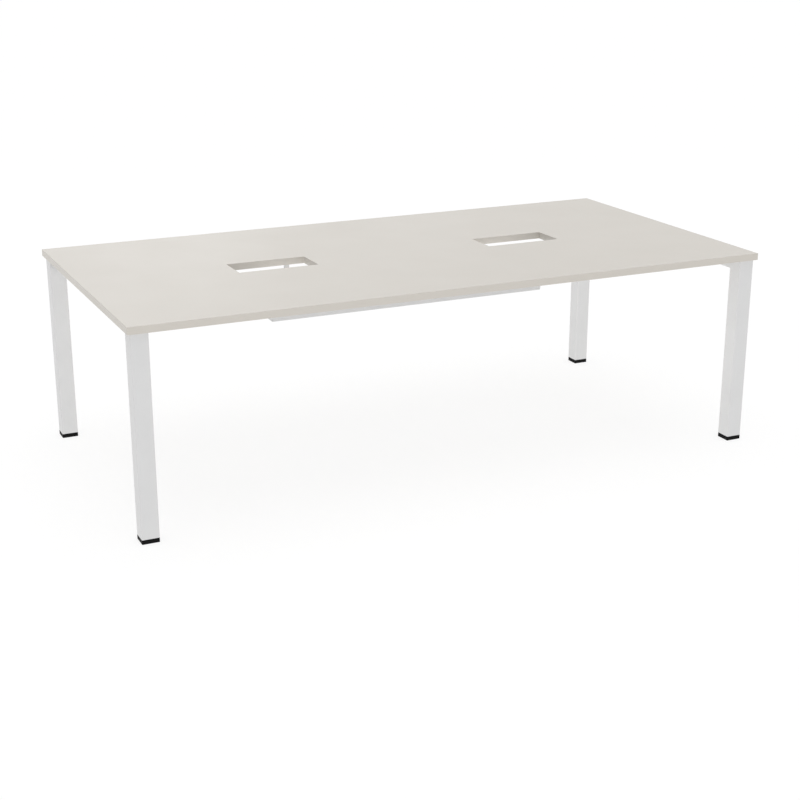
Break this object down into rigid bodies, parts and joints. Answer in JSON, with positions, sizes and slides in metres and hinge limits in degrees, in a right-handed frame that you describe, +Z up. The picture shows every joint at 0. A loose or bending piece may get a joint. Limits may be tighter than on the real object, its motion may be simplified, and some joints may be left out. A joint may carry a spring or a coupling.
{
  "type": "rectangular meeting table",
  "caption": "Rectangular meeting table: plain board top with cable openings, square steel legs on levelling feet, bolted under-frame and a cable tray.",
  "frame": {"origin": "on the floor, below the middle of the table", "axes": "+X along the table, +Y from the front long edge to the back one, +Z up"},
  "size_m": [2.4, 1.2, 0.735],
  "materials": {
    "greige_melamine": "melamine-faced chipboard, warm light grey, fine matt texture",
    "greige_edging": "ABS edging in the colour of the top, eased edges",
    "white_powder_coat": "white powder coat, satin, fine texture, on mild steel",
    "white_plastic": "moulded white plastic",
    "black_plastic": "moulded black nylon, fine grain",
    "zinc_steel": "bright zinc plating on steel"
  },
  "bodies": {
    "table": {"top_board": "greige_melamine", "edge_band_front": "greige_edging", "edge_band_back": "greige_edging", "edge_band_left": "greige_edging", "edge_band_right": "greige_edging", "cutout_edging_left": "greige_edging", "cutout_edging_right": "greige_edging", "leg_front_left": "white_powder_coat", "leg_cap_front_left": "white_plastic", "foot_insert_front_left": "black_plastic", "foot_nut_front_left": "zinc_steel", "beam_plate_front_left": "white_powder_coat", "tray_hanger_front_left": "white_powder_coat", "leg_front_right": "white_powder_coat", "leg_cap_front_right": "white_plastic", "foot_insert_front_right": "black_plastic", "foot_nut_front_right": "zinc_steel", "beam_plate_front_right": "white_powder_coat", "tray_hanger_front_right": "white_powder_coat", "leg_back_left": "white_powder_coat", "leg_cap_back_left": "white_plastic", "foot_insert_back_left": "black_plastic", "foot_nut_back_left": "zinc_steel", "beam_plate_back_left": "white_powder_coat", "tray_hanger_back_left": "white_powder_coat", "leg_back_right": "white_powder_coat", "leg_cap_back_right": "white_plastic", "foot_insert_back_right": "black_plastic", "foot_nut_back_right": "zinc_steel", "beam_plate_back_right": "white_powder_coat", "tray_hanger_back_right": "white_powder_coat", "end_rail_left": "white_powder_coat", "end_rail_right": "white_powder_coat", "beam_front": "white_powder_coat", "beam_back": "white_powder_coat", "beam_lugs_front": "white_powder_coat", "beam_lugs_back": "white_powder_coat", "rail_lugs_left": "white_powder_coat", "rail_lugs_right": "white_powder_coat", "cable_tray": "white_powder_coat", "rivet_nuts": "zinc_steel", "frame_washers": "zinc_steel", "frame_bolts": "zinc_steel", "top_screws": "zinc_steel", "hanger_screws": "zinc_steel", "tray_bolts": "zinc_steel", "tray_nuts": "zinc_steel"},
    "foot_front_left": {"foot_pad_front_left": "black_plastic"},
    "stem_front_left": {"foot_stem_front_left": "zinc_steel"},
    "foot_front_right": {"foot_pad_front_right": "black_plastic"},
    "stem_front_right": {"foot_stem_front_right": "zinc_steel"},
    "foot_back_left": {"foot_pad_back_left": "black_plastic"},
    "stem_back_left": {"foot_stem_back_left": "zinc_steel"},
    "foot_back_right": {"foot_pad_back_right": "black_plastic"},
    "stem_back_right": {"foot_stem_back_right": "zinc_steel"}
  },
  "joints": [
    {"name": "foot_slide_front_left", "type": "slide", "parent": "table", "child": "foot_front_left", "axis": [0, 0, -1], "range_m": [0, 0.01]},
    {"name": "stem_turn_front_left", "type": "hinge", "parent": "foot_front_left", "child": "stem_front_left", "pos_m": [-1.159, -0.559, 0], "axis": [0, 0, -1], "range_deg": [0, 2400]},
    {"name": "foot_slide_front_right", "type": "slide", "parent": "table", "child": "foot_front_right", "axis": [0, 0, -1], "range_m": [0, 0.01]},
    {"name": "stem_turn_front_right", "type": "hinge", "parent": "foot_front_right", "child": "stem_front_right", "pos_m": [1.159, -0.559, 0], "axis": [0, 0, -1], "range_deg": [0, 2400]},
    {"name": "foot_slide_back_left", "type": "slide", "parent": "table", "child": "foot_back_left", "axis": [0, 0, -1], "range_m": [0, 0.01]},
    {"name": "stem_turn_back_left", "type": "hinge", "parent": "foot_back_left", "child": "stem_back_left", "pos_m": [-1.159, 0.559, 0], "axis": [0, 0, -1], "range_deg": [0, 2400]},
    {"name": "foot_slide_back_right", "type": "slide", "parent": "table", "child": "foot_back_right", "axis": [0, 0, -1], "range_m": [0, 0.01]},
    {"name": "stem_turn_back_right", "type": "hinge", "parent": "foot_back_right", "child": "stem_back_right", "pos_m": [1.159, 0.559, 0], "axis": [0, 0, -1], "range_deg": [0, 2400]}
  ],
  "couplings": [
    {"joint": "foot_slide_front_left", "follows": "stem_turn_front_left", "m_per_rad": 0.00023873},
    {"joint": "foot_slide_front_right", "follows": "stem_turn_front_right", "m_per_rad": 0.00023873},
    {"joint": "foot_slide_back_left", "follows": "stem_turn_back_left", "m_per_rad": 0.00023873},
    {"joint": "foot_slide_back_right", "follows": "stem_turn_back_right", "m_per_rad": 0.00023873}
  ]
}
